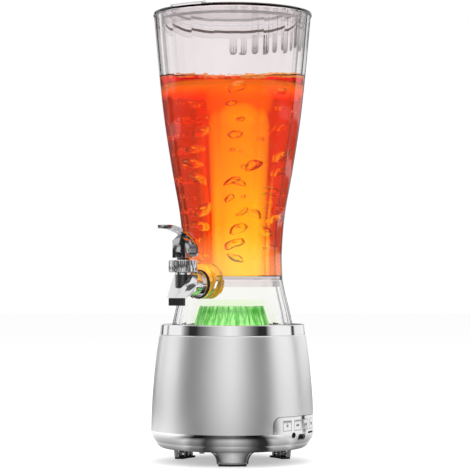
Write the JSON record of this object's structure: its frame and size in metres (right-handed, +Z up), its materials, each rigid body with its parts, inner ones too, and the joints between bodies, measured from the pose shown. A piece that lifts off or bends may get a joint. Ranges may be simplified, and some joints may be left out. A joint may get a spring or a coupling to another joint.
{
  "type": "beer tower dispenser",
  "caption": "Clear faceted drink tower with a lever tap and lid on a round silver loudspeaker base with a lit lens, control buttons and three chrome feet.",
  "frame": {"origin": "on the floor under the column's axis", "axes": "+Z up along the column, -Y towards the front leg; the tap points 40 degrees left of the front"},
  "size_m": [0.1624, 0.1651, 0.4488],
  "materials": {
    "clear_plastic": "clear, polished",
    "silver_paint": "satin silver",
    "chrome_plate": "mirror plated",
    "steel": "plain",
    "black_rubber": "matte",
    "black_plastic": "matte",
    "white_plastic": "matte",
    "silicone": "soft, translucent",
    "circuit_board": "solder mask",
    "lamp": "clear",
    "magnet": "sintered",
    "paper": "pressed pulp",
    "copper_wire": "insulated lead",
    "cell": "sleeved"
  },
  "bodies": {
    "base": {"led_lens": "clear_plastic", "base_shell": "silver_paint", "plinth": "chrome_plate", "collar_ring": "chrome_plate", "leg_front": "chrome_plate", "leg_rear_right": "chrome_plate", "leg_rear_left": "chrome_plate", "cover_screws": "steel", "board_screws": "steel", "usb_port": "steel", "foot_pads": "black_rubber", "bottom_cover": "black_plastic", "battery_tray": "black_plastic", "aux_jack": "black_plastic", "card_reader": "black_plastic", "board_parts": "black_plastic", "speaker_basket": "black_plastic", "tact_switches": "black_plastic", "light_deck": "white_plastic", "main_board": "circuit_board", "button_board": "circuit_board", "socket_board": "circuit_board", "led_board": "circuit_board", "leds": "lamp", "speaker_magnet": "magnet", "speaker_yoke": "magnet", "speaker_cone": "paper", "speaker_surround": "paper", "speaker_dust_cap": "paper", "voice_coil": "paper", "led_lead": "copper_wire", "speaker_lead": "copper_wire", "battery_lead": "copper_wire", "battery_cells": "cell"},
    "tower": {"tower_vessel": "clear_plastic", "tower_skirt": "clear_plastic", "tap_body": "chrome_plate", "tap_outlet": "black_plastic", "tap_outer_washer": "black_rubber", "tap_inner_washer": "black_rubber", "tap_lock_nut": "steel", "tap_cap": "chrome_plate", "tap_cap_washer": "black_rubber", "tap_spring": "steel"},
    "lid": {"lid": "clear_plastic", "lid_seal": "silicone"},
    "tap_stem": {"tap_stem": "steel", "tap_seat_plug": "silicone", "tap_lever_pin": "steel"},
    "tap_lever": {"tap_lever": "chrome_plate"},
    "button_light": {"button_light": "chrome_plate"},
    "button_prev": {"button_prev": "chrome_plate"},
    "button_play": {"button_play": "chrome_plate"},
    "button_next": {"button_next": "chrome_plate"}
  },
  "joints": [
    {"name": "tower_lift", "type": "slide", "parent": "base", "child": "tower", "axis": [0, 0, 1], "range_m": [0, 0.06]},
    {"name": "lid_lift", "type": "slide", "parent": "tower", "child": "lid", "axis": [0, 0, 1], "range_m": [0, 0.07]},
    {"name": "tap_stem_rise", "type": "slide", "parent": "tower", "child": "tap_stem", "axis": [0, 0, 1], "range_m": [0, 0.0027], "stiffness_N_per_m": 900, "springref_m": -0.003, "deforming": ["tap_spring"]},
    {"name": "tap_lever_pull", "type": "hinge", "parent": "tap_stem", "child": "tap_lever", "pos_m": [-0.04789, -0.05707, 0.208], "axis": [0.766, -0.6428, 0], "range_deg": [0, 35]},
    {"name": "button_light_press", "type": "slide", "parent": "base", "child": "button_light", "axis": [-0.6528, 0.7576, 0], "range_m": [0, 0.0008], "stiffness_N_per_m": 900, "springref_m": -0.0012},
    {"name": "button_prev_press", "type": "slide", "parent": "base", "child": "button_prev", "axis": [-0.7799, 0.6259, 0], "range_m": [0, 0.0008], "stiffness_N_per_m": 900, "springref_m": -0.0012},
    {"name": "button_play_press", "type": "slide", "parent": "base", "child": "button_play", "axis": [-0.8809, 0.4733, 0], "range_m": [0, 0.0008], "stiffness_N_per_m": 900, "springref_m": -0.0012},
    {"name": "button_next_press", "type": "slide", "parent": "base", "child": "button_next", "axis": [-0.9524, 0.3049, 0], "range_m": [0, 0.0008], "stiffness_N_per_m": 900, "springref_m": -0.0012}
  ],
  "couplings": [
    {"joint": "tap_lever_pull", "follows": "tap_stem_rise", "rad_per_m": 226.2}
  ]
}
